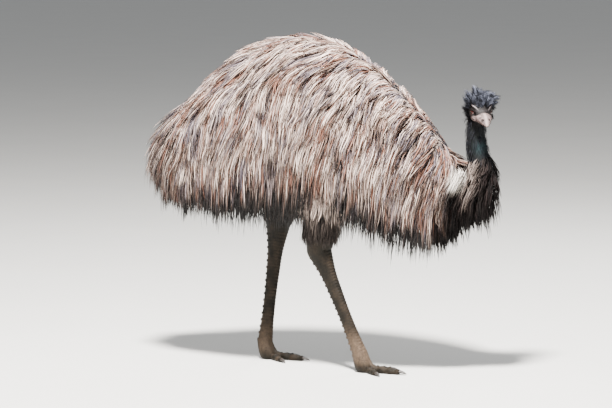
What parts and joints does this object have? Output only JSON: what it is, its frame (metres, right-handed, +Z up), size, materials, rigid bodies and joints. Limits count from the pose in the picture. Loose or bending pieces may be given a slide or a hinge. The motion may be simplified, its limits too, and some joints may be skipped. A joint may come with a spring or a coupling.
{
  "type": "emu",
  "caption": "Life-size still model of an adult emu in mid stride, low neck raised in a bend, head turned to its right, shaggy hanging coat and bare scaly legs.",
  "frame": {"origin": "on the floor, under the middle of the bird's overall box", "axes": "+X the way the bird walks, +Y its left side, +Z up; the soles stand on z = 0"},
  "size_m": [1.2133, 0.4844, 1.0923],
  "materials": {
    "plumage": "matte, shaggy",
    "ruff": "matte, hair-like",
    "head_skin": "matte",
    "bill_horn": "satin",
    "leg_scale": "satin",
    "claw_horn": "satin",
    "eye": "wet gloss"
  },
  "bodies": {
    "root": {"torso": "plumage", "tail": "plumage", "thigh_left": "plumage", "thigh_right": "plumage", "neck_lower": "ruff", "neck_upper": "ruff", "head": "head_skin", "bill_upper": "bill_horn", "bill_lower": "bill_horn", "eye_left": "eye", "eye_right": "eye", "tarsus_left": "leg_scale", "tarsus_right": "leg_scale", "toe_middle_left": "leg_scale", "toe_inner_left": "leg_scale", "toe_outer_left": "leg_scale", "toe_middle_right": "leg_scale", "toe_inner_right": "leg_scale", "toe_outer_right": "leg_scale", "claw_middle_left": "claw_horn", "claw_inner_left": "claw_horn", "claw_outer_left": "claw_horn", "claw_middle_right": "claw_horn", "claw_inner_right": "claw_horn", "claw_outer_right": "claw_horn", "foot_left": "leg_scale", "foot_right": "leg_scale"}
  },
  "joints": []
}
